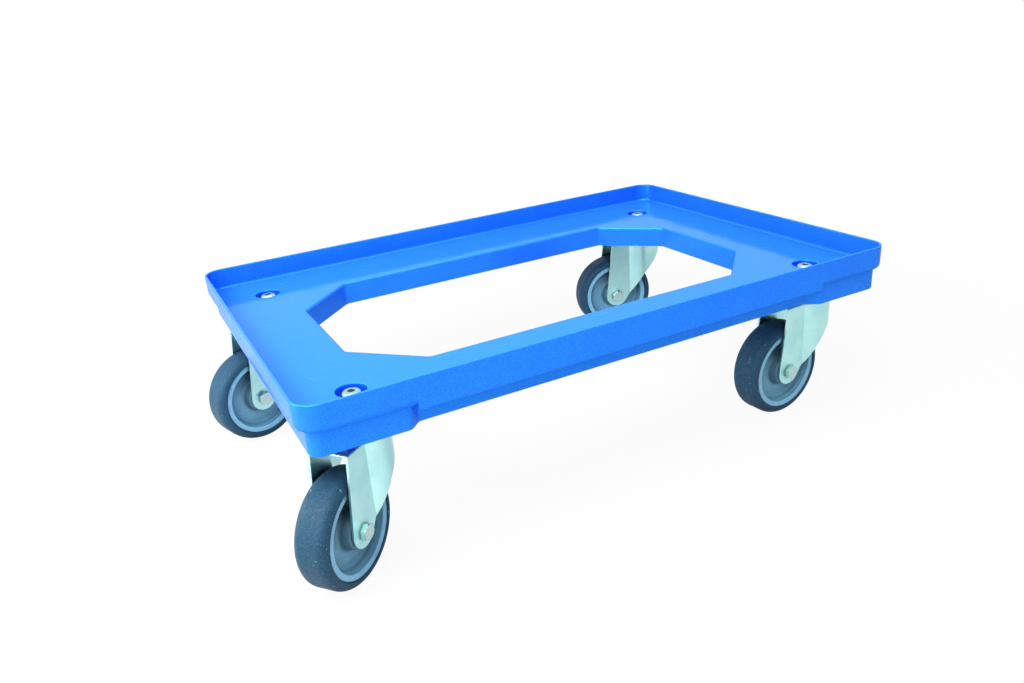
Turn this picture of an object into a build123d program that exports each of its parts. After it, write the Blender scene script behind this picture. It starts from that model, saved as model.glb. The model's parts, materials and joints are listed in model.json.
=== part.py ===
from build123d import *
import os
from collections import namedtuple
from math import acos, atan2, cos, hypot, pi, radians, sin, sqrt

# Crate dolly: a moulded tray for 600 x 400 mm crates on four swivel casters.
# X runs along the tray, Z points up and the wheels stand on the floor at Z = 0.
# The origin lies on the floor, under the middle of the dolly with its casters as they stand.
# Sizes are in millimetres.

# Tray: rim, seat and deck
CRATE_LENGTH = 600
CRATE_WIDTH = 400
CRATE_CLEARANCE = 2.5  # between a crate and the rim, on each side
RIM_WALL = 2.5
RIM_CORNER = 20
RIM_EDGE = 1
TRAY_HEIGHT = 46.5
DECK_DEPTH = 22.5  # rim top to deck
DECK_THICKNESS = 4
SEAT_FOOT = 3  # round between the deck and the rim's inner face
BAND_DROP = 2  # how far the rim band reaches below the deck's top
BAND_LEDGE = 0.75  # flat left between the band's round lower edge and the skirt

# Tray: skirt, hand grips and the fascia over each grip
SKIRT_INSET = 6.5
SKIRT_CORNER = 12
SKIRT_WALL = 3.5
SKIRT_EDGE = 1.5
GRIP_SETBACK = 87  # end of the rim to the end of a grip
GRIP_DEPTH = 9.7
GRIP_ROUND = 6
FASCIA_MARGIN = 5  # end of a grip to the end of its fascia
FASCIA_DROP = 4
FASCIA_THICKNESS = 3.5
FASCIA_EDGE = 1.5

# Tray: the eight-sided opening
END_RAIL = 78  # end of the rim to the opening
SIDE_RAIL = 81.5  # side of the rim to the opening
OPENING_CHAMFER = 58
OPENING_ROUND = 6
OPENING_EDGE = 3
OPENING_WALL = 3.5

# Tray: ribs and caster bosses under the deck
RIB_THICKNESS = 2.5
RIB_PITCH = 52
RIB_RISE = 4  # the ribs end this far above the skirt's lower edge
BOLT_SETBACK_LENGTH = 56.5  # end of the rim to the caster bolts
BOLT_SETBACK_WIDTH = 57  # side of the rim to the caster bolts
BOSS_MARGIN = 1.3
BOSS_WALL = 3
BOSS_FLOOR = 4
BOLT_TUBE_WALL = 4

# Mounting screws, washers and nuts
SCREW_DIAMETER = 10
SCREW_HOLE_CLEARANCE = 0.5
SCREW_HEAD_DIAMETER = 17.5
SCREW_HEAD_HEIGHT = 5.5
SCREW_HEAD_ROUND = 4
SCREW_HEAD_COVER = 0.5  # the head ends this far below the deck's top
SCREW_END = 3  # thread that shows beyond the nut
SOCKET_WIDTH = 6
SOCKET_DEPTH = 3
WASHER_DIAMETER = 20
WASHER_CLEARANCE = 0.25
WASHER_THICKNESS = 2
RECESS_CLEARANCE = 3
RECESS_EDGE = 0.6
NUT_WIDTH = 16
NUT_HEIGHT = 8.4
HEX_SIDES = 6
HEX_TURN = 90  # degrees, puts a corner on top
HEX_CHAMFER = 0.9
END_CHAMFER = 0.8
THREAD_CLEARANCE = 0.05

# Swivel head
PLATE_THICKNESS = 4.35
PLATE_INSET = 7.3  # fork's round back to the plate's edge
PLATE_EDGE = 1.2
LIP_THICKNESS = 1.5
LIP_CLEARANCE = 0.8
UPPER_BALL = 6.35
LOWER_BALL = 4.76
UPPER_GROOVE = 0.9
LOWER_GROOVE = 0.7
RACE_GAP = 0.3
BALL_SPACING = 1  # between neighbouring balls
UPPER_RING_CLEARANCE = 0.5  # upper balls to the plate's lip
LOWER_RING_CLEARANCE = 1.1  # lower balls to the king sleeve
SLEEVE_CLEARANCE = 0.25
SLEEVE_WALL = 2.75
FLANGE_WIDTH = 3
FLANGE_THICKNESS = 2
CUP_MARGIN = 3
CUP_THICKNESS = 2.7
CUP_EDGE = 1
CROWN_CLEARANCE = 0.8  # king sleeve to the hole in the fork's crown
SEAT_CLEARANCE = 0.05  # around pieces that are pressed home

# Fork
SHEET = 2
BEND = 3.5
SIDE_CLEARANCE = 0.9  # tyre to fork leg
TRAIL = 38  # swivel axis to axle
CROWN_RISE = 22.6  # top of the wheel to the top of the crown
CROWN_FRONT = 43  # swivel axis to the crown's front edge
CROWN_CORNER = 3
FORK_END = 14.3
BACK_BULGE = 8.1  # how far the round back stands out beyond the legs
CREASE_ROUND = 1.5  # where the round back meets a leg
REAR_SKIRT = 14.5  # crown top to the lower edge of the back
REAR_ROUND = 6
KNEE_DROP = 42  # crown top to the bend in the rear edge, below the swivel axis
KNEE_ROUND = 30

# Wheel
WHEEL_DIAMETER = 100
TYRE_WIDTH = 32
TYRE_DEPTH = 8.4
TYRE_SHOULDER = 8.5
TYRE_LIP = 1
RING_INSET = 1.3  # side of the tyre to the side of the wheel centre's ring
RING_DEPTH = 5.8
RING_EDGE = 0.8
WEB_THICKNESS = 6
HUB_WALL = 2
HUB_BORE_CLEARANCE = 2
BEARING_DIAMETER = 24
BEARING_WIDTH = 6
BEARING_RING = 1.8
SHIELD_DEPTH = 0.5
GUARD_SHEET = 1.4
GUARD_GAP = 0.85  # thread guard to fork leg
GUARD_BORE_CLEARANCE = 2.5
GUARD_SETBACK = 1.5  # side of the ring to the edge of the guard
GUARD_BAND = 3.5  # width of the guard's edge against the ring
GUARD_ROUND = 2
HUB_DRAFT = 2.5  # how far the guard's hub widens down to the dish
DISH_DEPTH = 8
DISH_DRAFT = 3.3  # how far the dish narrows down to its floor
DISH_ROUND = 4

# Axle
AXLE_DIAMETER = 8
AXLE_CLEARANCE = 0.2
AXLE_HEAD_HEIGHT = 5.3
AXLE_NUT_HEIGHT = 6.8
AXLE_HEX_WIDTH = 13
AXLE_END = 2.5
TUBE_WALL = 1.8
RUNNING_FIT = 0.05

# Where the casters point: the direction from swivel axis to axle, in degrees from +X
FRONT_LEFT_HEADING = 219
FRONT_RIGHT_HEADING = 184
REAR_LEFT_HEADING = 198
REAR_RIGHT_HEADING = 165

Caster = namedtuple("Caster", "name along across heading")
CASTERS = [
    Caster("front_left", -1, -1, FRONT_LEFT_HEADING),
    Caster("front_right", 1, -1, FRONT_RIGHT_HEADING),
    Caster("rear_left", -1, 1, REAR_LEFT_HEADING),
    Caster("rear_right", 1, 1, REAR_RIGHT_HEADING),
]

# Wheel sizes that follow from the driving dimensions
WHEEL_RADIUS = WHEEL_DIAMETER / 2
AXLE_HEIGHT = WHEEL_RADIUS
SHOULDER_REACH = sqrt(TYRE_SHOULDER**2 - (TYRE_SHOULDER - TYRE_DEPTH) ** 2)
TREAD_WIDTH = TYRE_WIDTH - 2 * SHOULDER_REACH
TYRE_BORE = WHEEL_RADIUS - TYRE_DEPTH
RING_RADIUS = TYRE_BORE - SEAT_CLEARANCE
RING_BORE = TYRE_BORE - RING_DEPTH
RING_HALF = TYRE_WIDTH / 2 - RING_INSET
FORK_INNER = TYRE_WIDTH / 2 + SIDE_CLEARANCE
FORK_OUTER = FORK_INNER + SHEET
BACK_RADIUS = FORK_OUTER + BACK_BULGE
HUB_HALF = FORK_INNER - GUARD_GAP - GUARD_SHEET
HUB_RADIUS = BEARING_DIAMETER / 2 + SEAT_CLEARANCE + HUB_WALL
TUBE_BORE = AXLE_DIAMETER / 2 + AXLE_CLEARANCE
TUBE_RADIUS = TUBE_BORE + TUBE_WALL

# Heights of the swivel head, from the crown upwards and downwards
CROWN_TOP = WHEEL_DIAMETER + CROWN_RISE
UPPER_GROOVE_RADIUS = UPPER_BALL / 2 + RACE_GAP
LOWER_GROOVE_RADIUS = LOWER_BALL / 2 + RACE_GAP
UPPER_RACE = CROWN_TOP + UPPER_GROOVE_RADIUS - UPPER_GROOVE
PLATE_BOTTOM = UPPER_RACE + UPPER_GROOVE_RADIUS - UPPER_GROOVE
TRAY_BOTTOM = PLATE_BOTTOM + PLATE_THICKNESS
CROWN_BOTTOM = CROWN_TOP - SHEET
LOWER_RACE = CROWN_BOTTOM - LOWER_GROOVE_RADIUS + LOWER_GROOVE
CUP_TOP = LOWER_RACE - LOWER_GROOVE_RADIUS + LOWER_GROOVE
CUP_BOTTOM = CUP_TOP - CUP_THICKNESS
FLANGE_BOTTOM = CUP_BOTTOM - FLANGE_THICKNESS

# Radii of the swivel head
SLEEVE_BORE = SCREW_DIAMETER / 2 + SLEEVE_CLEARANCE
SLEEVE_RADIUS = SLEEVE_BORE + SLEEVE_WALL
PLATE_RADIUS = BACK_RADIUS - PLATE_INSET
UPPER_RING = PLATE_RADIUS - LIP_THICKNESS - UPPER_RING_CLEARANCE - UPPER_BALL / 2
LOWER_RING = SLEEVE_RADIUS + LOWER_RING_CLEARANCE + LOWER_BALL / 2
UPPER_BALL_COUNT = int(2 * pi * UPPER_RING / (UPPER_BALL + BALL_SPACING))
LOWER_BALL_COUNT = int(2 * pi * LOWER_RING / (LOWER_BALL + BALL_SPACING))
CUP_RADIUS = LOWER_RING + CUP_MARGIN

# Tray sizes and heights
SEAT_LENGTH = CRATE_LENGTH + 2 * CRATE_CLEARANCE
SEAT_WIDTH = CRATE_WIDTH + 2 * CRATE_CLEARANCE
RIM_LENGTH = SEAT_LENGTH + 2 * RIM_WALL
RIM_WIDTH = SEAT_WIDTH + 2 * RIM_WALL
RIM_TOP = TRAY_BOTTOM + TRAY_HEIGHT
DECK = RIM_TOP - DECK_DEPTH
DECK_UNDERSIDE = DECK - DECK_THICKNESS
BAND_BOTTOM = DECK - BAND_DROP
BAND_ROUND = SKIRT_INSET - BAND_LEDGE
SKIRT_LENGTH = RIM_LENGTH - 2 * SKIRT_INSET
SKIRT_WIDTH = RIM_WIDTH - 2 * SKIRT_INSET
GRIP_LENGTH = RIM_LENGTH - 2 * GRIP_SETBACK
FASCIA_LENGTH = GRIP_LENGTH - 2 * FASCIA_MARGIN
OPENING_LENGTH = RIM_LENGTH - 2 * END_RAIL
OPENING_WIDTH = RIM_WIDTH - 2 * SIDE_RAIL
BOLT_LENGTH = RIM_LENGTH - 2 * BOLT_SETBACK_LENGTH
BOLT_WIDTH = RIM_WIDTH - 2 * BOLT_SETBACK_WIDTH
SIDE_RIB_COUNT = 2 * int(OPENING_LENGTH / 2 / RIB_PITCH) + 1
END_RIB_COUNT = 2 * int(OPENING_WIDTH / 2 / RIB_PITCH) + 1
SCREW_HOLE = SCREW_DIAMETER / 2 + SCREW_HOLE_CLEARANCE
BOLT_TUBE = SCREW_HOLE + BOLT_TUBE_WALL
BOSS_RADIUS = PLATE_RADIUS + BOSS_MARGIN
RECESS_RADIUS = WASHER_DIAMETER / 2 + RECESS_CLEARANCE
RECESS_DEPTH = WASHER_THICKNESS + SCREW_HEAD_HEIGHT + SCREW_HEAD_COVER
RECESS_FLOOR = DECK - RECESS_DEPTH
BOSS_CAP = RECESS_FLOOR - BOSS_FLOOR


def extent_middle(rim_size, bolt_spacing, direction):
    """Middle of rim and wheels along X (direction 0) or Y (direction 90), from the tray's centre."""
    ends = [-rim_size / 2, rim_size / 2]
    for caster in CASTERS:
        side = caster.across if direction else caster.along
        angle = radians(caster.heading - direction)
        axle = side * bolt_spacing / 2 + TRAIL * cos(angle)
        reach = (WHEEL_RADIUS - TYRE_SHOULDER) * abs(cos(angle))
        reach += TREAD_WIDTH / 2 * abs(sin(angle)) + TYRE_SHOULDER
        ends += [axle - reach, axle + reach]
    return (min(ends) + max(ends)) / 2


TRAY_X = -extent_middle(RIM_LENGTH, BOLT_LENGTH, 0)
TRAY_Y = -extent_middle(RIM_WIDTH, BOLT_WIDTH, 90)


def tray_level(height):
    """Level plane over the tray's centre."""
    return Plane((TRAY_X, TRAY_Y, height))


def across(distance):
    """Plane square to the axle, at a distance along it from the middle of the wheel."""
    return Plane((TRAIL, distance, AXLE_HEIGHT), x_dir=(1, 0, 0), z_dir=(0, 1, 0))


def corner(sketch, point):
    """The corner of a sketch that is nearest to a point."""
    return sketch.vertices().sort_by_distance(point)[0]


# Plan of the skirt, with a shallow grip along each long side
with BuildSketch() as skirt_plan:
    RectangleRounded(SKIRT_LENGTH, SKIRT_WIDTH, SKIRT_CORNER)
    for side in (-1, 1):
        outer = side * SKIRT_WIDTH / 2
        inner = side * (SKIRT_WIDTH / 2 - GRIP_DEPTH)
        half = GRIP_LENGTH / 2
        Polygon(
            (-half, outer),
            (-half + GRIP_DEPTH, inner),
            (half - GRIP_DEPTH, inner),
            (half, outer),
            align=None,
            mode=Mode.SUBTRACT,
        )
    grip_corners = skirt_plan.vertices().filter_by(lambda point: abs(point.X) < half + GRIP_DEPTH)
    fillet(grip_corners, GRIP_ROUND)

# Plan of the opening
with BuildSketch() as opening_plan:
    Rectangle(OPENING_LENGTH, OPENING_WIDTH)
    chamfer(opening_plan.vertices(), OPENING_CHAMFER)
    fillet(opening_plan.vertices(), OPENING_ROUND)

with BuildSketch() as opening_wall_plan:
    add(opening_plan.sketch)
    offset(amount=OPENING_WALL)

# Plan of the space under the deck, between the skirt and the wall of the opening
with BuildSketch() as hollow_plan:
    add(skirt_plan.sketch)
    offset(amount=-SKIRT_WALL)
    add(opening_wall_plan.sketch, mode=Mode.SUBTRACT)

with BuildPart() as tray:
    # Rim band
    with BuildSketch(tray_level(BAND_BOTTOM)):
        RectangleRounded(RIM_LENGTH, RIM_WIDTH, RIM_CORNER)
    extrude(amount=RIM_TOP - BAND_BOTTOM)
    fillet(tray.edges().group_by(Axis.Z)[0], BAND_ROUND)

    # Skirt, and the deck's overhang above the grips
    with BuildSketch(tray_level(TRAY_BOTTOM)):
        add(skirt_plan.sketch)
    extrude(amount=BAND_BOTTOM - TRAY_BOTTOM)
    fillet(tray.edges().group_by(Axis.Z)[0], SKIRT_EDGE)
    with BuildSketch(tray_level(DECK_UNDERSIDE)):
        RectangleRounded(SKIRT_LENGTH, SKIRT_WIDTH, SKIRT_CORNER)
    extrude(amount=BAND_BOTTOM - DECK_UNDERSIDE)

    # Fascia over each grip
    with BuildSketch(tray_level(BAND_BOTTOM - FASCIA_DROP)):
        with GridLocations(0, RIM_WIDTH - FASCIA_THICKNESS, 1, 2):
            Rectangle(FASCIA_LENGTH, FASCIA_THICKNESS)
    extrude(amount=FASCIA_DROP + BAND_ROUND)
    fascia_edges = tray.edges(Select.LAST).filter_by_position(
        Axis.Z, BAND_BOTTOM - FASCIA_DROP - FASCIA_EDGE, BAND_BOTTOM - FASCIA_DROP + FASCIA_EDGE
    )
    fillet(fascia_edges.filter_by(Axis.Z, reverse=True), FASCIA_EDGE)

    # Seat for the crate
    with BuildSketch(tray_level(DECK)):
        RectangleRounded(SEAT_LENGTH, SEAT_WIDTH, RIM_CORNER - RIM_WALL)
    extrude(amount=DECK_DEPTH, mode=Mode.SUBTRACT)
    fillet(tray.edges(Select.LAST).group_by(Axis.Z)[0], SEAT_FOOT)
    fillet(tray.edges().group_by(Axis.Z)[-1], RIM_EDGE)

    # Hollow underside with its ribs
    with BuildSketch(tray_level(TRAY_BOTTOM)):
        add(hollow_plan.sketch)
    extrude(amount=DECK_UNDERSIDE - TRAY_BOTTOM, mode=Mode.SUBTRACT)
    with BuildSketch(tray_level(TRAY_BOTTOM + RIB_RISE)):
        with GridLocations(RIB_PITCH, 0, SIDE_RIB_COUNT, 1):
            Rectangle(RIB_THICKNESS, SKIRT_WIDTH)
        with GridLocations(0, RIB_PITCH, 1, END_RIB_COUNT):
            Rectangle(SKIRT_LENGTH, RIB_THICKNESS)
        with GridLocations(BOLT_LENGTH, 0, 2, 1):
            Rectangle(RIB_THICKNESS, SKIRT_WIDTH)
        with GridLocations(0, BOLT_WIDTH, 1, 2):
            Rectangle(SKIRT_LENGTH, RIB_THICKNESS)
        add(hollow_plan.sketch, mode=Mode.INTERSECT)
    extrude(amount=DECK_UNDERSIDE - TRAY_BOTTOM - RIB_RISE)

    # Caster bosses: an outer ring, a tube around the screw and the floor of the deck recess
    with BuildSketch(tray_level(TRAY_BOTTOM)):
        with GridLocations(BOLT_LENGTH, BOLT_WIDTH, 2, 2):
            Circle(BOSS_RADIUS)
            Circle(BOSS_RADIUS - BOSS_WALL, mode=Mode.SUBTRACT)
            Circle(BOLT_TUBE)
    extrude(amount=DECK_UNDERSIDE - TRAY_BOTTOM)
    with BuildSketch(tray_level(BOSS_CAP)):
        with GridLocations(BOLT_LENGTH, BOLT_WIDTH, 2, 2):
            Circle(BOSS_RADIUS)
    extrude(amount=DECK_UNDERSIDE - BOSS_CAP)

    # Opening through the deck
    with BuildSketch(tray_level(TRAY_BOTTOM)):
        add(opening_plan.sketch)
    extrude(amount=DECK - TRAY_BOTTOM, mode=Mode.SUBTRACT)
    fillet(tray.edges(Select.LAST).group_by(Axis.Z)[-1], OPENING_EDGE)

    # Screw holes, each in a round recess
    with Locations(tray_level(DECK)):
        with GridLocations(BOLT_LENGTH, BOLT_WIDTH, 2, 2):
            CounterBoreHole(SCREW_HOLE, RECESS_RADIUS, RECESS_DEPTH)
    fillet(tray.edges(Select.LAST).filter_by(GeomType.CIRCLE).group_by(Axis.Z)[-1], RECESS_EDGE)


def hex_block(base, width, height):
    """Six-sided block on a plane, with the corners of its outer end taken off."""
    with BuildPart() as block:
        with BuildSketch(base):
            Circle(width / sqrt(3))
        extrude(amount=height)
        outer_edge = block.edges().filter_by(GeomType.CIRCLE).sort_by(Axis(base.origin, base.z_dir))[-1]
        chamfer(outer_edge, HEX_CHAMFER)
        with BuildSketch(base):
            RegularPolygon(width / 2, HEX_SIDES, major_radius=False, rotation=HEX_TURN)
        extrude(amount=height, mode=Mode.INTERSECT)
    return block.part


# Pieces on the swivel axis, each about the Z axis
HEAD_BASE = RECESS_FLOOR + WASHER_THICKNESS
SCREW_LENGTH = HEAD_BASE - FLANGE_BOTTOM + NUT_HEIGHT + SCREW_END

with BuildPart() as screw:
    with BuildSketch(Plane.XY.offset(HEAD_BASE)):
        Circle(SCREW_HEAD_DIAMETER / 2)
    extrude(amount=SCREW_HEAD_HEIGHT)
    fillet(screw.edges().group_by(Axis.Z)[-1], SCREW_HEAD_ROUND)
    with BuildSketch(Plane.XY.offset(HEAD_BASE)):
        Circle(SCREW_DIAMETER / 2)
    extrude(amount=-SCREW_LENGTH)
    chamfer(screw.edges().group_by(Axis.Z)[0], END_CHAMFER)
    with BuildSketch(Plane.XY.offset(HEAD_BASE + SCREW_HEAD_HEIGHT)):
        RegularPolygon(SOCKET_WIDTH / 2, HEX_SIDES, major_radius=False)
    extrude(amount=-SOCKET_DEPTH, mode=Mode.SUBTRACT)

with BuildPart() as washer:
    with BuildSketch(Plane.XY.offset(RECESS_FLOOR)):
        Circle(WASHER_DIAMETER / 2)
        Circle(SCREW_DIAMETER / 2 + WASHER_CLEARANCE, mode=Mode.SUBTRACT)
    extrude(amount=WASHER_THICKNESS)

nut_seat = Plane((0, 0, FLANGE_BOTTOM), x_dir=(1, 0, 0), z_dir=(0, 0, -1))
nut_block = hex_block(nut_seat, NUT_WIDTH, NUT_HEIGHT)

with BuildPart() as nut:
    add(nut_block)
    with BuildSketch(nut_seat):
        Circle(SCREW_DIAMETER / 2 + THREAD_CLEARANCE)
    extrude(amount=NUT_HEIGHT, mode=Mode.SUBTRACT)

with BuildPart() as swivel_plate:
    with BuildSketch(Plane.XZ) as section:
        Polygon(
            (SLEEVE_RADIUS + SEAT_CLEARANCE, PLATE_BOTTOM),
            (PLATE_RADIUS - LIP_THICKNESS, PLATE_BOTTOM),
            (PLATE_RADIUS - LIP_THICKNESS, CROWN_TOP + LIP_CLEARANCE),
            (PLATE_RADIUS, CROWN_TOP + LIP_CLEARANCE),
            (PLATE_RADIUS, TRAY_BOTTOM),
            (SLEEVE_RADIUS + SEAT_CLEARANCE, TRAY_BOTTOM),
            align=None,
        )
        fillet(corner(section, (PLATE_RADIUS, TRAY_BOTTOM)), PLATE_EDGE)
    revolve(axis=Axis.Z)
    with Locations((0, 0, UPPER_RACE)):
        Torus(UPPER_RING, UPPER_GROOVE_RADIUS, mode=Mode.SUBTRACT)

with BuildPart() as swivel_cup:
    with BuildSketch(Plane.XZ) as section:
        Polygon(
            (SLEEVE_RADIUS + SEAT_CLEARANCE, CUP_BOTTOM),
            (CUP_RADIUS, CUP_BOTTOM),
            (CUP_RADIUS, CUP_TOP),
            (SLEEVE_RADIUS + SEAT_CLEARANCE, CUP_TOP),
            align=None,
        )
        fillet(corner(section, (CUP_RADIUS, CUP_BOTTOM)), CUP_EDGE)
    revolve(axis=Axis.Z)
    with Locations((0, 0, LOWER_RACE)):
        Torus(LOWER_RING, LOWER_GROOVE_RADIUS, mode=Mode.SUBTRACT)

with BuildPart() as king_sleeve:
    with BuildSketch(Plane.XZ):
        Polygon(
            (SLEEVE_BORE, FLANGE_BOTTOM),
            (SLEEVE_RADIUS + FLANGE_WIDTH, FLANGE_BOTTOM),
            (SLEEVE_RADIUS + FLANGE_WIDTH, CUP_BOTTOM),
            (SLEEVE_RADIUS, CUP_BOTTOM),
            (SLEEVE_RADIUS, TRAY_BOTTOM),
            (SLEEVE_BORE, TRAY_BOTTOM),
            align=None,
        )
    revolve(axis=Axis.Z)

with BuildPart() as race_balls:
    with Locations((0, 0, UPPER_RACE)):
        with PolarLocations(UPPER_RING, UPPER_BALL_COUNT):
            Sphere(UPPER_BALL / 2)
    with Locations((0, 0, LOWER_RACE)):
        with PolarLocations(LOWER_RING, LOWER_BALL_COUNT):
            Sphere(LOWER_BALL / 2)

# Side view of the fork: both edges run straight onto the round end, and the rear one bends on its way
REAR_POINT = (-BACK_RADIUS, CROWN_TOP - REAR_SKIRT)
KNEE_POINT = (0, CROWN_TOP - KNEE_DROP)
AXLE_POINT = (TRAIL, AXLE_HEIGHT)
FRONT_POINT = (CROWN_FRONT, CROWN_TOP)


def end_tangent(point, side):
    """Where a straight edge from a point meets the fork's round end, on its rear (1) or front (-1) side."""
    x = point[0] - TRAIL
    z = point[1] - AXLE_HEIGHT
    angle = atan2(z, x) + side * acos(FORK_END / hypot(x, z))
    return (TRAIL + FORK_END * cos(angle), AXLE_HEIGHT + FORK_END * sin(angle))


with BuildPart() as fork:
    # Pressed blank: two flat legs and a round back about the swivel axis, open at the front and below
    with BuildSketch() as plan:
        Circle(BACK_RADIUS)
        Rectangle(CROWN_TOP, 2 * FORK_OUTER, align=(Align.MIN, Align.CENTER))
        creases = [corner(plan, (BACK_RADIUS, side * FORK_OUTER)) for side in (-1, 1)]
        fillet(creases, CREASE_ROUND)
    extrude(amount=CROWN_TOP)
    fillet(fork.edges().group_by(Axis.Z)[-1].sort_by(Axis.X)[:-1], BEND)
    open_faces = [fork.faces().sort_by(Axis.X)[-1], fork.faces().sort_by(Axis.Z)[0]]
    offset(amount=-SHEET, openings=open_faces)

    # Outline of crown and legs
    with BuildSketch(Plane.XZ) as outline:
        with Locations(AXLE_POINT):
            Circle(FORK_END)
        Polygon(
            REAR_POINT,
            KNEE_POINT,
            end_tangent(KNEE_POINT, 1),
            AXLE_POINT,
            end_tangent(FRONT_POINT, -1),
            FRONT_POINT,
            (-BACK_RADIUS, CROWN_TOP),
            align=None,
        )
        fillet(corner(outline, REAR_POINT), REAR_ROUND)
        fillet(corner(outline, KNEE_POINT), KNEE_ROUND)
        fillet(corner(outline, FRONT_POINT), CROWN_CORNER)
    extrude(amount=BACK_RADIUS, both=True, mode=Mode.INTERSECT)

    # Hole for the king sleeve, ball grooves and axle holes
    with BuildSketch(Plane.XY.offset(CROWN_TOP)):
        Circle(SLEEVE_RADIUS + CROWN_CLEARANCE)
    extrude(amount=-SHEET, mode=Mode.SUBTRACT)
    with Locations((0, 0, UPPER_RACE)):
        Torus(UPPER_RING, UPPER_GROOVE_RADIUS, mode=Mode.SUBTRACT)
    with Locations((0, 0, LOWER_RACE)):
        Torus(LOWER_RING, LOWER_GROOVE_RADIUS, mode=Mode.SUBTRACT)
    with BuildSketch(across(0)):
        Circle(TUBE_BORE)
    extrude(amount=FORK_OUTER, both=True, mode=Mode.SUBTRACT)

axle_head = hex_block(across(FORK_OUTER), AXLE_HEX_WIDTH, AXLE_HEAD_HEIGHT)

with BuildPart() as axle_bolt:
    add(axle_head)
    with BuildSketch(across(FORK_OUTER)):
        Circle(AXLE_DIAMETER / 2)
    extrude(amount=-2 * FORK_OUTER - AXLE_NUT_HEIGHT - AXLE_END)
    chamfer(axle_bolt.edges().sort_by(Axis.Y)[0], END_CHAMFER)

axle_nut_seat = Plane((TRAIL, -FORK_OUTER, AXLE_HEIGHT), x_dir=(1, 0, 0), z_dir=(0, -1, 0))
axle_nut_block = hex_block(axle_nut_seat, AXLE_HEX_WIDTH, AXLE_NUT_HEIGHT)

with BuildPart() as axle_nut:
    add(axle_nut_block)
    with BuildSketch(axle_nut_seat):
        Circle(AXLE_DIAMETER / 2 + THREAD_CLEARANCE)
    extrude(amount=AXLE_NUT_HEIGHT, mode=Mode.SUBTRACT)

with BuildPart() as axle_tube:
    with BuildSketch(across(0)):
        Circle(TUBE_RADIUS)
        Circle(TUBE_BORE, mode=Mode.SUBTRACT)
    extrude(amount=FORK_INNER, both=True)

# Pieces of the wheel, turned about the axle: sections give distance along the axle, then radius
AXLE = Axis((TRAIL, 0, AXLE_HEIGHT), (0, 1, 0))
WHEEL_SECTION = Plane((TRAIL, 0, AXLE_HEIGHT), x_dir=(0, 1, 0), z_dir=(1, 0, 0))

with BuildPart() as tyre:
    with BuildSketch(WHEEL_SECTION) as section:
        with Locations((0, WHEEL_RADIUS / 2)):
            RectangleRounded(TREAD_WIDTH + 2 * TYRE_SHOULDER, WHEEL_RADIUS, TYRE_SHOULDER)
        Rectangle(TREAD_WIDTH + 2 * TYRE_SHOULDER, 2 * TYRE_BORE, mode=Mode.SUBTRACT)
        fillet(section.vertices().group_by(Axis.Y)[0], TYRE_LIP)
    revolve(axis=AXLE)

SEAT_RADIUS = BEARING_DIAMETER / 2 + SEAT_CLEARANCE
SEAT_DEPTH = HUB_HALF - BEARING_WIDTH

with BuildPart() as wheel_centre:
    with BuildSketch(WHEEL_SECTION) as section:
        Polygon(
            (0, TUBE_RADIUS + HUB_BORE_CLEARANCE),
            (SEAT_DEPTH, TUBE_RADIUS + HUB_BORE_CLEARANCE),
            (SEAT_DEPTH, SEAT_RADIUS),
            (HUB_HALF, SEAT_RADIUS),
            (HUB_HALF, HUB_RADIUS),
            (WEB_THICKNESS / 2, HUB_RADIUS),
            (WEB_THICKNESS / 2, RING_BORE),
            (RING_HALF, RING_BORE),
            (RING_HALF, RING_RADIUS),
            (0, RING_RADIUS),
            align=None,
        )
        fillet(corner(section, (RING_HALF, RING_BORE)), RING_EDGE)
        fillet(corner(section, (RING_HALF, RING_RADIUS)), RING_EDGE)
        mirror(about=Plane.YZ)
    revolve(axis=AXLE)

BEARING_BORE = TUBE_RADIUS + RUNNING_FIT
SHIELD_WIDTH = BEARING_DIAMETER / 2 - BEARING_BORE - 2 * BEARING_RING

with BuildPart() as wheel_bearings:
    with BuildSketch(WHEEL_SECTION):
        with Locations((SEAT_DEPTH, BEARING_BORE)):
            Rectangle(BEARING_WIDTH, BEARING_DIAMETER / 2 - BEARING_BORE, align=Align.MIN)
        with Locations((SEAT_DEPTH, BEARING_BORE + BEARING_RING)):
            Rectangle(SHIELD_DEPTH, SHIELD_WIDTH, align=Align.MIN, mode=Mode.SUBTRACT)
        with Locations((HUB_HALF - SHIELD_DEPTH, BEARING_BORE + BEARING_RING)):
            Rectangle(SHIELD_DEPTH, SHIELD_WIDTH, align=Align.MIN, mode=Mode.SUBTRACT)
    revolve(axis=AXLE)
    mirror(about=Plane.XZ)

GUARD_FACE = HUB_HALF + GUARD_SHEET
GUARD_HUB = HUB_RADIUS + SEAT_CLEARANCE
GUARD_TOP = GUARD_HUB + GUARD_SHEET
GUARD_FOOT = GUARD_TOP + HUB_DRAFT
GUARD_RADIUS = RING_BORE - SEAT_CLEARANCE
GUARD_BORE = TUBE_RADIUS + GUARD_BORE_CLEARANCE
GUARD_RIM = RING_HALF - GUARD_SETBACK
DISH_RADIUS = GUARD_RADIUS - DISH_DRAFT
DISH_FLOOR = GUARD_RIM - DISH_DEPTH
DISH_BACK = DISH_FLOOR - GUARD_SHEET

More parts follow.
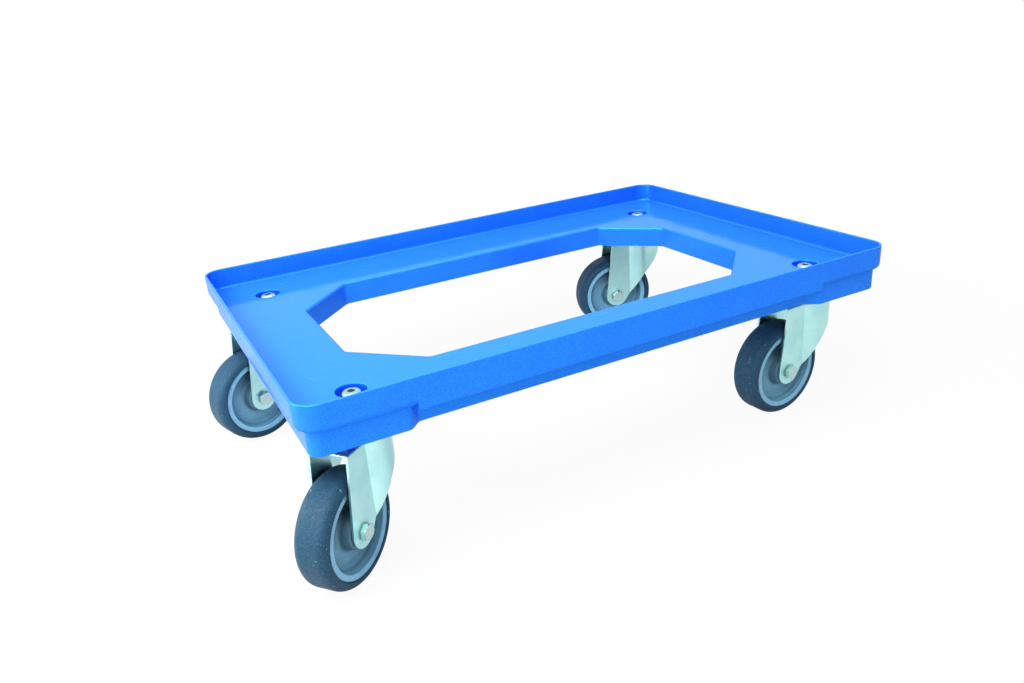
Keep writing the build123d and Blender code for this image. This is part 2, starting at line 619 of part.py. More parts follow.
with BuildPart() as thread_guards:
    with BuildSketch(WHEEL_SECTION) as section:
        Polygon(
            (HUB_HALF, GUARD_BORE),
            (GUARD_FACE, GUARD_BORE),
            (GUARD_FACE, GUARD_TOP),
            (DISH_FLOOR, GUARD_FOOT),
            (DISH_FLOOR, DISH_RADIUS),
            (GUARD_RIM, GUARD_RADIUS),
            (GUARD_RIM - GUARD_BAND, GUARD_RADIUS),
            (DISH_BACK, DISH_RADIUS + GUARD_SHEET),
            (DISH_BACK, GUARD_FOOT - GUARD_SHEET),
            (HUB_HALF, GUARD_HUB),
            align=None,
        )
        fillet(corner(section, (GUARD_FACE, GUARD_TOP)), GUARD_ROUND)
        fillet(corner(section, (DISH_FLOOR, GUARD_FOOT)), DISH_ROUND)
        fillet(corner(section, (DISH_FLOOR, DISH_RADIUS)), DISH_ROUND)
    revolve(axis=AXLE)
    mirror(about=Plane.XZ)


def swivel_place(caster):
    """Foot of a caster's swivel axis."""
    return (TRAY_X + caster.along * BOLT_LENGTH / 2, TRAY_Y + caster.across * BOLT_WIDTH / 2)


def save(piece, node):
    """Label a finished piece and write it as one node."""
    piece.part.label = node
    export_step(piece.part, f"parts/{node}.step")


os.makedirs("parts", exist_ok=True)
save(tray, "tray")

for node, piece in {"mounting_screws": screw, "mounting_washers": washer, "mounting_nuts": nut}.items():
    with BuildPart() as group:
        with Locations(*[swivel_place(caster) for caster in CASTERS]):
            add(piece.part)
    save(group, node)

caster_pieces = {
    "swivel_plate": swivel_plate,
    "swivel_cup": swivel_cup,
    "king_sleeve": king_sleeve,
    "race_balls": race_balls,
    "fork": fork,
    "axle_bolt": axle_bolt,
    "axle_nut": axle_nut,
    "axle_tube": axle_tube,
    "tyre": tyre,
    "wheel_centre": wheel_centre,
    "wheel_bearings": wheel_bearings,
    "thread_guards": thread_guards,
}
for caster in CASTERS:
    x, y = swivel_place(caster)
    for node, piece in caster_pieces.items():
        with BuildPart() as placed:
            with Locations(Location((x, y, 0), (0, 0, caster.heading))):
                add(piece.part)
        save(placed, f"{caster.name}_{node}")
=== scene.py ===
import json
from math import radians
from typing import NamedTuple

import bpy
from mathutils import Matrix, Vector


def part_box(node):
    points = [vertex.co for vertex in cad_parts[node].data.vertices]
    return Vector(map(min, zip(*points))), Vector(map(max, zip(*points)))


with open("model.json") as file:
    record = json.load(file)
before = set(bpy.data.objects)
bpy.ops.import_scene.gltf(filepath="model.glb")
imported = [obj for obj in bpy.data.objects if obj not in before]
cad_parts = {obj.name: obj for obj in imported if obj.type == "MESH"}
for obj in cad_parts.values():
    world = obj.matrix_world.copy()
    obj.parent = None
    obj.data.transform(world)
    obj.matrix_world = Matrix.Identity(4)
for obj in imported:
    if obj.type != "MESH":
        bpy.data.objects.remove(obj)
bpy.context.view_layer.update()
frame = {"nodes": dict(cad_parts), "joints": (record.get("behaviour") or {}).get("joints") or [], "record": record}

# Crate dolly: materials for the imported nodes, a pale floor, soft studio light and the
# photograph's camera. Sizes are in metres, angles in degrees, and colours are linear.
MM = 0.001

# Camera, measured from the middle of the rim's top
EYE_FROM_RIM = Vector((-0.3971, -0.7453, 0.2597))
VIEW_HEADING = 63.64  # from +X
VIEW_PITCH = -22.7
VIEW_ROLL = -4.59
PHOTO_WIDTH = 1024  # pixels
FOCAL_LENGTH = 826  # pixels
SENSOR_WIDTH = 36  # millimetres

# Floor and surroundings
FLOOR_SIZE = 12
FLOOR_COLOUR = (0.73, 0.73, 0.73)
FLOOR_GLOW = 0.93  # share of the floor's whiteness that shadows leave alone, near the object
MIRRORED_GLOW = 0.3  # the same share in reflections, where the shadow under the tray shows more
GLOW_NEAR = 0.5  # from here outwards the floor fades to plain white
GLOW_FAR = 1.1
AMBIENT = 0.41  # level at which the white surroundings light the object

# Square lamps: place, target, size and power in watts
LAMPS = {
    "key_light": ((-0.95, -0.8, 1.45), (0, 0, 0.1), 1.3, 31),
    "top_light": ((0.05, -0.2, 2.4), (0, 0, 0.1), 2.0, 19.5),
    "side_light": ((-0.85, 0.1, 0.42), (-0.2, 0, 0.1), 0.7, 6.6),
}

# Places on the object
tray_low, tray_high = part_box("tray")
RIM_CENTRE = Vector(((tray_low.x + tray_high.x) / 2, (tray_low.y + tray_high.y) / 2, tray_high.z))
MOUNTS = {mount["name"]: mount for mount in frame["record"]["mounts"]}
DECK_HEIGHT = MOUNTS["load_deck"]["pos_m"][2]
JOINTS = {joint["name"]: joint for joint in frame["joints"]}
SWIVEL = "_swivel"
CASTERS = [name[: -len(SWIVEL)] for name in JOINTS if name.endswith(SWIVEL)]


def radius_of(node):
    """Radius of a wheel piece, from the height of its box."""
    low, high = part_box(node)
    return (high.z - low.z) / 2


WHEEL_RADIUS = radius_of(CASTERS[0] + "_tyre")
RING_RADIUS = radius_of(CASTERS[0] + "_wheel_centre")
GUARD_RADIUS = radius_of(CASTERS[0] + "_thread_guards")

# Spans of a value between which a factor goes from 0 to 1, or back. Soft noise stays around 0.5,
# and a normal's height is 1 facing up, 0 on upright faces and -1 facing down.
MIDDLE_NOISE = (0.3, 0.7)
SHARED_NORMAL = (0.8, 0.98)  # cosine between a rounded normal and the plain one
LOWER_EDGES = (-0.3, -0.05)
NOOK_OPENNESS = (0.3, 0.9)
BEVEL_SAMPLES = 4
NOOK_SAMPLES = 6


class Coat(NamedTuple):
    """A tone laid over a colour, and the largest share of it that the tone covers."""

    share: float
    tone: tuple


class Lines(NamedTuple):
    """Thin scratches along one heading."""

    heading: float
    stretch: float
    width: float
    span: tuple


class Plate(NamedTuple):
    """A plated steel."""

    dark: tuple
    light: tuple
    # tone painted on the edges: light as a painted highlight, dark as a painted shade line
    painted_edge_tone: tuple
    smooth: float
    rough: float
    edge_radius: float


class Moulding(NamedTuple):
    """A plastic of the wheels, with the radius where it ends and how far its painted shade in nooks reaches."""

    dark: tuple
    light: tuple
    roughness: float
    outer: float
    nook: float


def scaled(colour, share):
    """A colour made darker or lighter."""
    return tuple(share * part for part in colour)


class Finish:
    """A material around one Principled surface, with short calls for the nodes that feed it."""

    def __init__(self, name):
        self.material = bpy.data.materials.new(name)
        self.material.use_nodes = True
        self.nodes = self.material.node_tree.nodes
        self.links = self.material.node_tree.links
        self.surface = self.nodes["Principled BSDF"]

    def set(self, **values):
        """Set or link sockets of the surface; an underscore stands for a space."""
        for name, value in values.items():
            self.join(value, self.surface.inputs[name.replace("_", " ")])

    def join(self, value, socket):
        """Link a socket's source, or set its own value."""
        if isinstance(value, bpy.types.NodeSocket):
            self.links.new(value, socket)
        elif isinstance(value, tuple) and len(value) == 3 and len(socket.default_value) == 4:
            socket.default_value = (*value, 1)
        else:
            socket.default_value = value

    def add(self, kind, *inputs, **settings):
        """Add a node, give its first inputs in order and return it."""
        node = self.nodes.new("ShaderNode" + kind)
        for name, value in settings.items():
            setattr(node, name, value)
        for value, socket in zip(inputs, [s for s in node.inputs if s.enabled]):
            self.join(value, socket)
        return node

    def math(self, operation, *values):
        return self.add("Math", *values, operation=operation).outputs[0]

    def chain(self, operation, values):
        """One operation over any number of values, from the first on."""
        result = values[0]
        for value in values[1:]:
            result = self.math(operation, result, value)
        return result

    def both(self, *factors):
        return self.chain("MULTIPLY", factors)

    def total(self, *values):
        return self.chain("ADD", values)

    def vector(self, operation, *values):
        return self.add("VectorMath", *values, operation=operation)

    def place(self):
        """Position in the row frame at rest, in metres."""
        return self.add("TexCoord").outputs["Object"]

    def plain_normal(self):
        return self.add("NewGeometry").outputs["Normal"]

    def height(self, vector):
        return self.add("SeparateXYZ", vector).outputs["Z"]

    def from_axle(self, caster):
        """Place as seen from the middle of a wheel's axle, and the axle's direction."""
        joint = JOINTS[caster + "_wheel_spin"]
        arm = self.vector("SUBTRACT", self.place(), tuple(joint["pos_m"])).outputs[0]
        return arm, tuple(joint["axis"])

    def axle_distance(self, caster):
        """Distance along a wheel's axle from its middle plane."""
        return self.vector("DOT_PRODUCT", *self.from_axle(caster)).outputs["Value"]

    def axle_radius(self, caster):
        """Radius about a wheel's axle."""
        across = self.vector("CROSS_PRODUCT", *self.from_axle(caster)).outputs[0]
        return self.vector("LENGTH", across).outputs["Value"]

    def noise(self, vector, size, detail):
        """Soft noise from 0 to 1, with features of about this size."""
        node = self.add("TexNoise")
        self.links.new(vector, node.inputs["Vector"])
        node.inputs["Scale"].default_value = 1 / size
        node.inputs["Detail"].default_value = detail
        return node.outputs["Fac"]

    def rings(self, distance, size):
        """Noise along one distance, which makes rings when the distance is a radius."""
        node = self.add("TexNoise", noise_dimensions="1D")
        self.links.new(distance, node.inputs["W"])
        node.inputs["Scale"].default_value = 1 / size
        return node.outputs["Fac"]

    def scratches(self, place, lines):
        """Factor that is 1 on thin lines along one heading."""
        turned = self.add("VectorRotate", place, rotation_type="Z_AXIS")
        turned.inputs["Angle"].default_value = radians(lines.heading)
        drawn = self.vector("MULTIPLY", turned.outputs[0], (lines.stretch, 1, 1)).outputs[0]
        return self.span(self.noise(drawn, lines.width, 2), lines.span)

    def span(self, value, bounds, to_low=0.0, to_high=1.0):
        """Map the bounds of a value to a new span, clamped and eased."""
        kind = {"interpolation_type": "SMOOTHSTEP"}
        return self.add("MapRange", value, *bounds, to_low, to_high, **kind).outputs["Result"]

    def near(self, value, middle, bounds):
        """1 within the first bound of a middle value, falling to 0 at the second."""
        offset = self.math("ABSOLUTE", self.math("SUBTRACT", value, middle))
        return self.span(offset, bounds, 1.0, 0.0)

    def blend(self, factor, first, second):
        """Mix two colours."""
        node = self.add("Mix", data_type="RGBA")
        self.join(factor, node.inputs["Factor"])
        self.join(first, node.inputs[6])
        self.join(second, node.inputs[7])
        return node.outputs[2]

    def coat(self, colour, factor, coat):
        """Lay a coat over a colour where a factor says."""
        return self.blend(self.both(factor, coat.share), colour, coat.tone)

    def relief(self, height, depth, over=None):
        """Bump of a given depth from a height of 0 to 1, over another normal."""
        node = self.add("Bump")
        node.inputs["Distance"].default_value = depth
        self.links.new(height, node.inputs["Height"])
        if over is not None:
            self.links.new(over, node.inputs["Normal"])
        return node.outputs["Normal"]

    def soft_edges(self, radius):
        """Normal that rounds the edges, and a factor that is 1 on them."""
        node = self.add("Bevel", samples=BEVEL_SAMPLES)
        node.inputs["Radius"].default_value = radius
        normal = node.outputs["Normal"]
        alike = self.vector("DOT_PRODUCT", normal, self.plain_normal()).outputs["Value"]
        return normal, self.span(alike, SHARED_NORMAL, 1.0, 0.0)

    def upper_edges(self, normal):
        """The rounded normal on upper and upright edges, and the plain one on lower edges."""
        node = self.add("Mix", data_type="VECTOR")
        self.join(self.span(self.height(normal), LOWER_EDGES), node.inputs["Factor"])
        self.join(self.plain_normal(), node.inputs[4])
        self.join(normal, node.inputs[5])
        return node.outputs[1]

    def nooks(self, distance):
        """Ambient-occlusion factor that is 1 in corners and close under other pieces, and 0 in the open; the
        materials paint shade with it.
        """
        node = self.add("AmbientOcclusion", samples=NOOK_SAMPLES)
        node.inputs["Distance"].default_value = distance
        return self.span(node.outputs["AO"], NOOK_OPENNESS, 1.0, 0.0)


# Tray: sizes of its marks
TRAY_FLOW = 60 * MM
TRAY_PATCH = 24 * MM
TRAY_GRAIN = 0.8 * MM
TRAY_EDGE = 2 * MM
TRAY_WAVE = 30 * MM
WIDE_NOOK = 30 * MM
TIGHT_NOOK = 8 * MM
UNDERSIDE_NOOK = 60 * MM
DECK_REACH = (0.3 * MM, 0.8 * MM)
LONG_SCRATCHES = Lines(4, 0.02, 1.5 * MM, (0.64, 0.72))
CROSS_SCRATCHES = Lines(63, 0.03, 1.7 * MM, (0.66, 0.74))
WAVE_DEPTH = 0.22 * MM
SCRATCH_DEPTH = 0.03 * MM
TRAY_GRAIN_DEPTH = 0.012 * MM
# Tray: where its marks come in
SCRATCHED_PATCHES = (0.42, 0.62)
WORN_PATCHES = (0.35, 0.65)
WORN_AND_LIT_SLOPES = (0.1, 0.5)
ROUGH_PATCHES = (0.35, 0.7)
PALE_GRAINS = (0.45, 0.65)
DARK_GRAINS = (0.36, 0.55)
FACING_UP = (0.4, 0.95)
FACING_LOWER = (-0.4, -0.1)
FACING_DOWN = (-0.9, -0.5)
# Tray: tones
SIDE_DARK = (0.013, 0.116, 1.0)
SIDE_LIGHT = (0.016, 0.135, 1.0)
# painted light: upward faces of the one moulding coloured lighter, as if lit more from above
PAINTED_TOP_LIGHT_COAT = Coat(1.0, (0.03, 0.238, 1.0))
PALE_GRAIN_COAT = Coat(0.5, (0.025, 0.23, 1.0))
DARK_GRAIN_COAT = Coat(0.4, (0.006, 0.105, 0.95))
# painted shade in corners and under the band, a wide soft one and a tight strong one
WIDE_SHADE_COAT = Coat(0.4, (0.003, 0.06, 1.0))
TIGHT_SHADE_COAT = Coat(0.7, (0.003, 0.06, 1.0))
# painted shade: downward faces close to other pieces made dark navy
UNDERSIDE_SHADE_COAT = Coat(0.9, (0.002, 0.015, 0.12))
SCRATCH_COAT = Coat(0.3, (0.06, 0.4, 1.0))
# lighter upper edges: partly worn, partly a painted highlight
WEAR_AND_HIGHLIGHT_COAT = Coat(0.3, (0.04, 0.32, 1.0))
# Tray: gloss
TRAY_ROUGHNESS = (0.07, 0.13)
SCRATCH_ROUGHNESS = 0.2
LOWER_ROUGHNESS = 0.5
EDGE_ROUGHNESS = 0.15
SIDE_ROUGHNESS = 0.12
TRAY_IOR = 3.3
TRAY_TINT = (0.03, 0.37, 0.42)


def tray_plastic():
    """Glossy blue moulding: slight waves, grain, upper edges partly worn and partly given a painted highlight, a
    scratched deck, upward faces painted lighter, and painted shade in corners and below.
    """
    finish = Finish("tray_plastic")
    place = finish.place()
    facing = finish.height(finish.plain_normal())
    flow = finish.noise(place, TRAY_FLOW, 3)
    patches = finish.noise(place, TRAY_PATCH, 4)
    grain = finish.noise(place, TRAY_GRAIN, 2)
    normal, edge = finish.soft_edges(TRAY_EDGE)

    long_lines = finish.scratches(place, LONG_SCRATCHES)
    cross_lines = finish.scratches(place, CROSS_SCRATCHES)
    lines = finish.math("MAXIMUM", long_lines, cross_lines)
    deck = finish.near(finish.height(place), DECK_HEIGHT, DECK_REACH)
    scratches = finish.both(lines, deck, finish.span(patches, SCRATCHED_PATCHES))
    slopes = finish.span(finish.height(normal), WORN_AND_LIT_SLOPES)
    # upper rounded edges made lighter in patches: partly worn, partly a painted highlight
    wear_and_highlight = finish.both(edge, finish.span(patches, WORN_PATCHES), slopes)
    underside = finish.span(facing, FACING_DOWN, 1.0, 0.0)
    # painted shade on downward faces that sit close to other pieces
    grime_and_shade = finish.both(underside, finish.nooks(UNDERSIDE_NOOK))

    colour = finish.blend(finish.span(flow, MIDDLE_NOISE), SIDE_DARK, SIDE_LIGHT)
    # painted light: faces that look up are made lighter
    colour = finish.coat(colour, finish.span(facing, FACING_UP), PAINTED_TOP_LIGHT_COAT)
    colour = finish.coat(colour, finish.span(grain, PALE_GRAINS), PALE_GRAIN_COAT)
    colour = finish.coat(colour, finish.span(grain, DARK_GRAINS, 1.0, 0.0), DARK_GRAIN_COAT)
    # painted shade: darker in corners, recesses and under the band
    colour = finish.coat(colour, finish.nooks(WIDE_NOOK), WIDE_SHADE_COAT)
    colour = finish.coat(colour, finish.nooks(TIGHT_NOOK), TIGHT_SHADE_COAT)
    colour = finish.coat(colour, grime_and_shade, UNDERSIDE_SHADE_COAT)
    colour = finish.coat(colour, scratches, SCRATCH_COAT)
    colour = finish.coat(colour, wear_and_highlight, WEAR_AND_HIGHLIGHT_COAT)
    roughness = finish.total(
        finish.span(patches, ROUGH_PATCHES, *TRAY_ROUGHNESS),
        finish.both(scratches, SCRATCH_ROUGHNESS),
        finish.span(facing, FACING_LOWER, LOWER_ROUGHNESS, 0.0),
        finish.both(edge, EDGE_ROUGHNESS),
        finish.span(facing, FACING_UP, SIDE_ROUGHNESS, 0.0),
    )
    waves = finish.noise(place, TRAY_WAVE, 1)
    waved = finish.relief(waves, WAVE_DEPTH, finish.upper_edges(normal))
    scored = finish.relief(scratches, SCRATCH_DEPTH, waved)
    finish.set(
        Base_Color=colour,
        Roughness=roughness,
        IOR=TRAY_IOR,
        Specular_Tint=TRAY_TINT,
        Normal=finish.relief(grain, TRAY_GRAIN_DEPTH, scored),
    )
    return finish.material


# Steels
# painted highlight for the edges of zinc and bearing steel
PAINTED_STEEL_HIGHLIGHT = (0.8, 0.98, 0.97)
# painted shade: dark edge lines of fasteners and bolts, and the steels' nooks
PAINTED_STEEL_SHADE = (0.1, 0.17, 0.19)
PLATES = {
    "zinc_steel": Plate((0.44, 0.79, 0.785), (0.515, 0.87, 0.83), PAINTED_STEEL_HIGHLIGHT, 0.3, 0.38, 0.5 * MM),
    "fastener_steel": Plate((0.41, 0.66, 0.65), (0.47, 0.73, 0.7), PAINTED_STEEL_SHADE, 0.24, 0.32, 0.8 * MM),
    "bolt_steel": Plate((0.48, 0.655, 0.625), (0.54, 0.725, 0.685), PAINTED_STEEL_SHADE, 0.12, 0.18, 0.4 * MM),
    "bearing_steel": Plate((0.6, 0.66, 0.7), (0.7, 0.74, 0.76), PAINTED_STEEL_HIGHLIGHT, 0.08, 0.14, 0.2 * MM),
}
STEEL_CLOUD = 20 * MM
STEEL_GRAIN = 0.8 * MM
STEEL_SPECK = 3 * MM
STEEL_NOOK = 5 * MM
STEEL_GRAIN_DEPTH = 0.0035 * MM
DULL_SPECKS = (0.6, 0.76)
SPECK_SHARE = 0.13
SPECK_DARKENING = 0.6
SPECK_ROUGHNESS = 0.1
STEEL_EDGE_SHARE = 0.5
# painted shade in the steels' nooks
STEEL_SHADE_COAT = Coat(0.8, PAINTED_STEEL_SHADE)


def plated_steel(name, plate):
    """Plated steel: soft clouds, a faint crystal grain, dull specks, painted shade in nooks, and edges in a
    painted tone: a highlight on zinc and bearing steel, a shade line on fastener and bolt steel.
    """
    finish = Finish(name)
    place = finish.place()
    cloud = finish.noise(place, STEEL_CLOUD, 3)
    grain = finish.noise(place, STEEL_GRAIN, 2)
    specks = finish.span(finish.noise(place, STEEL_SPECK, 5), DULL_SPECKS)
    normal, edge = finish.soft_edges(plate.edge_radius)
    speck_coat = Coat(SPECK_SHARE, scaled(plate.dark, SPECK_DARKENING))
    colour = finish.blend(finish.span(cloud, MIDDLE_NOISE), plate.dark, plate.light)
    colour = finish.coat(colour, specks, speck_coat)
    # painted edge tone: a highlight on the bright plates, a shade line on the dull ones
    colour = finish.coat(colour, edge, Coat(STEEL_EDGE_SHARE, plate.painted_edge_tone))
    # painted shade: darker in nooks
    colour = finish.coat(colour, finish.nooks(STEEL_NOOK), STEEL_SHADE_COAT)
    clouded = finish.span(cloud, MIDDLE_NOISE, plate.rough, plate.smooth)
    finish.set(
        Base_Color=colour,
        Metallic=1.0,
        Roughness=finish.total(clouded, finish.both(specks, SPECK_ROUGHNESS)),
        Normal=finish.relief(grain, STEEL_GRAIN_DEPTH, normal),
    )
    return finish.material


# Tyres
TYRE_CLOUD = 11 * MM
TYRE_GRAIN = 0.7 * MM
TYRE_SCUFF = 4 * MM
TYRE_SPECK = 2.2 * MM
TYRE_NOOK = 40 * MM
TREAD_REACH = (WHEEL_RADIUS - 3 * MM, WHEEL_RADIUS - 0.5 * MM)
SEAM_REACH = (0.15 * MM, 0.5 * MM)
SEAM_DEPTH = 0.1 * MM
TYRE_GRAIN_DEPTH = 0.03 * MM
TYRE_SCUFFS = (0.42, 0.68)
TYRE_SPECKS = (0.8, 0.84)
TYRE_GRAINS = (0.45, 0.68)
TYRE_DARK = (0.0105, 0.046, 0.085)
TYRE_LIGHT = (0.012, 0.052, 0.096)
TYRE_GRAIN_COAT = Coat(0.6, (0.037, 0.135, 0.23))
SCUFF_COAT = Coat(0.14, (0.05, 0.145, 0.24))
SEAM_COAT = Coat(0.4, (0.015, 0.05, 0.09))
# painted shade where the tyre sits close under the fork and tray
TYRE_SHADE_COAT = Coat(0.75, (0.008, 0.022, 0.05))
TYRE_SPECK_COAT = Coat(0.5, (0.3, 0.5, 0.62))
TYRE_ROUGHNESS = (0.46, 0.6)
TYRE_SPECULAR = 0.18


def tyre_rubber(caster):
    """Grey rubber: fine grain, a scuffed tread, a moulding seam around it, a few pale specks and painted shade in
    its nooks.
    """
    finish = Finish(caster + "_tyre_rubber")
    place = finish.place()
    cloud = finish.noise(place, TYRE_CLOUD, 4)
    grain = finish.noise(place, TYRE_GRAIN, 3)
    tread = finish.span(finish.axle_radius(caster), TREAD_REACH)
    scuffs = finish.both(tread, finish.span(finish.noise(place, TYRE_SCUFF, 5), TYRE_SCUFFS))
    seam = finish.near(finish.axle_distance(caster), 0.0, SEAM_REACH)
    specks = finish.span(finish.noise(place, TYRE_SPECK, 0), TYRE_SPECKS)
    colour = finish.blend(finish.span(cloud, MIDDLE_NOISE), TYRE_DARK, TYRE_LIGHT)
    colour = finish.coat(colour, finish.span(grain, TYRE_GRAINS), TYRE_GRAIN_COAT)
    colour = finish.coat(colour, scuffs, SCUFF_COAT)
    colour = finish.coat(colour, seam, SEAM_COAT)
    # painted shade: darker in nooks
    colour = finish.coat(colour, finish.nooks(TYRE_NOOK), TYRE_SHADE_COAT)
    colour = finish.coat(colour, specks, TYRE_SPECK_COAT)
    ridge = finish.relief(seam, SEAM_DEPTH)
    finish.set(
        Base_Color=colour,
        Roughness=finish.span(cloud, MIDDLE_NOISE, *TYRE_ROUGHNESS),
        Specular_IOR_Level=TYRE_SPECULAR,
        Normal=finish.relief(grain, TYRE_GRAIN_DEPTH, ridge),
    )
    return finish.material


# Wheel plastics
WHEEL_PLASTIC = Moulding((0.19, 0.44, 0.635), (0.22, 0.505, 0.715), 0.42, RING_RADIUS, 8 * MM)
GUARD_PLASTIC = Moulding((0.16, 0.4, 0.57), (0.188, 0.47, 0.665), 0.45, GUARD_RADIUS, 24 * MM)
WHEEL_CLOUD = 12 * MM
WHEEL_GRAIN = 0.9 * MM
TURNING_RING = 0.8 * MM
GRIME_REACH = 1.2 * MM
# radii over which the painted shade around the hub fades out
HUB_REACH = (15 * MM, 21 * MM)
RING_DEPTH = 0.03 * MM
WHEEL_GRAIN_DEPTH = 0.015 * MM
WHEEL_GRAINS = (0.42, 0.66)
RING_TONES = (0.4, 0.7)
GRIME_CLOUDS = (0.3, 0.6)
LEAST_GRIME = 0.4
ROUGH_CLOUDS = (0.2, 0.8)
ROUGHNESS_SPREAD = 0.07
WHEEL_SPECULAR = 0.4


def moulded_wheel(name, caster, moulding):
    """Moulded wheel plastic: grain, faint turning rings, dirt at its edge, and painted shade in its nooks and
    around its hub.
    """
    finish = Finish(caster + "_" + name)
    place = finish.place()
    radius = finish.axle_radius(caster)
    cloud = finish.noise(place, WHEEL_CLOUD, 4)
    grain = finish.noise(place, WHEEL_GRAIN, 2)
    rings = finish.rings(radius, TURNING_RING)
    rim = finish.span(radius, (moulding.outer - GRIME_REACH, moulding.outer))
    # dirt in the joint at the moulding's edge; this mark paints no shade
    grime_and_shade = finish.both(rim, finish.span(cloud, GRIME_CLOUDS, LEAST_GRIME, 1.0))
    hub = finish.span(radius, HUB_REACH, 1.0, 0.0)
    grain_coat = Coat(0.3, scaled(moulding.light, 1.3))
    ring_coat = Coat(0.25, scaled(moulding.dark, 0.7))
    grime_coat = Coat(0.45, scaled(moulding.dark, 0.35))
    # painted shade in nooks, strongest beside the fork leg
    painted_shade_coat = Coat(0.92, scaled(moulding.dark, 0.15))
    hub_shade_coat = Coat(0.8, scaled(moulding.dark, 0.2))
    colour = finish.blend(finish.span(cloud, MIDDLE_NOISE), moulding.dark, moulding.light)
    colour = finish.coat(colour, finish.span(grain, WHEEL_GRAINS), grain_coat)
    colour = finish.coat(colour, finish.span(rings, RING_TONES), ring_coat)
    colour = finish.coat(colour, grime_and_shade, grime_coat)
    colour = finish.coat(colour, finish.nooks(moulding.nook), painted_shade_coat)
    # painted shade: darker towards the hub, beside the fork leg
    colour = finish.coat(colour, hub, hub_shade_coat)
    smooth = moulding.roughness - ROUGHNESS_SPREAD
    rough = moulding.roughness + ROUGHNESS_SPREAD
    finish.set(
        Base_Color=colour,
        Roughness=finish.span(cloud, ROUGH_CLOUDS, smooth, rough),
        Specular_IOR_Level=WHEEL_SPECULAR,
        Normal=finish.relief(grain, WHEEL_GRAIN_DEPTH, finish.relief(rings, RING_DEPTH)),
    )
    return finish.material


# Materials by node, or else by the record's slot
MATERIALS = {"tray_plastic": tray_plastic()}
for name, plate in PLATES.items():
    MATERIALS[name] = plated_steel(name, plate)
for caster in CASTERS:
    MATERIALS[caster + "_axle_bolt"] = MATERIALS["bolt_steel"]
    MATERIALS[caster + "_axle_nut"] = MATERIALS["bolt_steel"]
    MATERIALS[caster + "_tyre"] = tyre_rubber(caster)
    MATERIALS[caster + "_wheel_centre"] = moulded_wheel("wheel_plastic", caster, WHEEL_PLASTIC)
    MATERIALS[caster + "_thread_guards"] = moulded_wheel("guard_plastic", caster, GUARD_PLASTIC)
for subpart in frame["record"]["subparts"]:
    node = subpart["node"]
    for material_slot in frame["nodes"][node].material_slots:
        material_slot.material = MATERIALS.get(node) or MATERIALS[subpart["material_slot"]]


def seen_directly(nodes, links, mirrored=1.0):
    """Factor that is 1 to the camera and through clear pieces, and 0 for light on surfaces.

    Reflections get a share of their own.
    """
    path = nodes.new("ShaderNodeLightPath")
    total = path.outputs["Is Camera Ray"]
    for name, share in (("Is Glossy Ray", mirrored), ("Is Transmission Ray", 1.0)):
        addition = nodes.new("ShaderNodeMath")
        addition.operation = "MULTIPLY_ADD"
        addition.use_clamp = True
        links.new(path.outputs[name], addition.inputs[0])
        addition.inputs[1].default_value = share
        links.new(total, addition.inputs[2])
        total = addition.outputs[0]
    return total


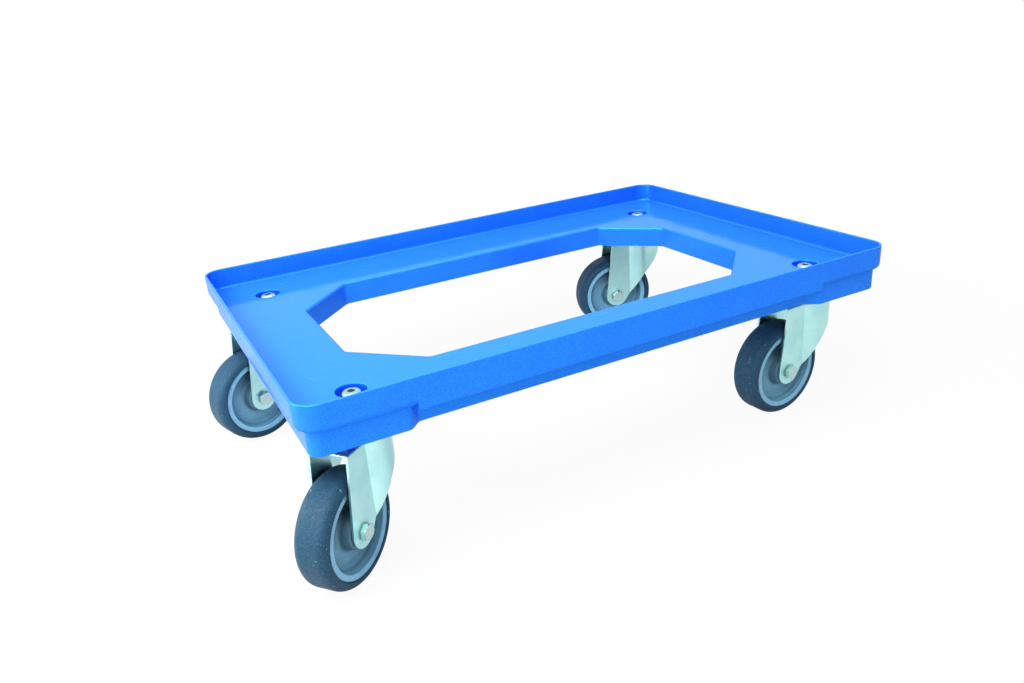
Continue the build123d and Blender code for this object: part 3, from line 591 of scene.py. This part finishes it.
def pale_floor():
    """White floor that glows white to the eye; its diffuse share keeps the shadows."""
    bpy.ops.mesh.primitive_plane_add(size=FLOOR_SIZE)
    floor = bpy.context.object
    floor.name = "floor"
    material = bpy.data.materials.new("floor_white")
    material.use_nodes = True
    nodes = material.node_tree.nodes
    links = material.node_tree.links
    nodes.remove(nodes["Principled BSDF"])
    diffuse = nodes.new("ShaderNodeBsdfDiffuse")
    diffuse.inputs["Color"].default_value = (*FLOOR_COLOUR, 1)
    glow = nodes.new("ShaderNodeEmission")
    distance = nodes.new("ShaderNodeVectorMath")
    distance.operation = "LENGTH"
    links.new(nodes.new("ShaderNodeTexCoord").outputs["Object"], distance.inputs[0])
    fade = nodes.new("ShaderNodeMapRange")
    fade.interpolation_type = "SMOOTHSTEP"
    fade.inputs["From Min"].default_value = GLOW_NEAR
    fade.inputs["From Max"].default_value = GLOW_FAR
    fade.inputs["To Min"].default_value = FLOOR_GLOW
    links.new(distance.outputs["Value"], fade.inputs["Value"])
    share = nodes.new("ShaderNodeMath")
    share.operation = "MULTIPLY"
    links.new(seen_directly(nodes, links, MIRRORED_GLOW), share.inputs[0])
    links.new(fade.outputs["Result"], share.inputs[1])
    mix = nodes.new("ShaderNodeMixShader")
    links.new(share.outputs[0], mix.inputs[0])
    links.new(diffuse.outputs[0], mix.inputs[1])
    links.new(glow.outputs[0], mix.inputs[2])
    links.new(mix.outputs[0], nodes["Material Output"].inputs["Surface"])
    floor.data.materials.append(material)


def white_surroundings():
    """World that looks white, and lights the object at its own level."""
    world = bpy.data.worlds.new("studio")
    bpy.context.scene.world = world
    world.use_nodes = True
    nodes = world.node_tree.nodes
    links = world.node_tree.links
    background = nodes["Background"]
    background.inputs["Color"].default_value = (1, 1, 1, 1)
    level = nodes.new("ShaderNodeMapRange")
    level.inputs["To Min"].default_value = AMBIENT
    level.inputs["To Max"].default_value = 1
    links.new(seen_directly(nodes, links), level.inputs["Value"])
    links.new(level.outputs["Result"], background.inputs["Strength"])


def softbox(name, place, target, size, power):
    """Square area light aimed at a point."""
    lamp = bpy.data.lights.new(name, "AREA")
    lamp.shape = "SQUARE"
    lamp.size = size
    lamp.energy = power
    holder = bpy.data.objects.new(name, lamp)
    holder.location = place
    aim = Vector(target) - Vector(place)
    holder.rotation_euler = aim.to_track_quat("-Z", "Y").to_euler()
    bpy.context.scene.collection.objects.link(holder)


def photo_camera():
    """Camera where the photograph was taken from."""
    data = bpy.data.cameras.new("photo_camera")
    data.sensor_fit = "HORIZONTAL"
    data.sensor_width = SENSOR_WIDTH
    data.lens = SENSOR_WIDTH * FOCAL_LENGTH / PHOTO_WIDTH
    camera = bpy.data.objects.new("photo_camera", data)
    turn = Matrix.Rotation(radians(VIEW_HEADING - 90), 4, "Z")
    tilt = Matrix.Rotation(radians(VIEW_PITCH + 90), 4, "X")
    roll = Matrix.Rotation(radians(VIEW_ROLL), 4, "Z")
    camera.matrix_world = Matrix.Translation(RIM_CENTRE + EYE_FROM_RIM) @ turn @ tilt @ roll
    bpy.context.scene.collection.objects.link(camera)
    bpy.context.scene.camera = camera


pale_floor()
white_surroundings()
for name, lamp in LAMPS.items():
    softbox(name, *lamp)
photo_camera()
bpy.context.scene.view_settings.view_transform = "Standard"
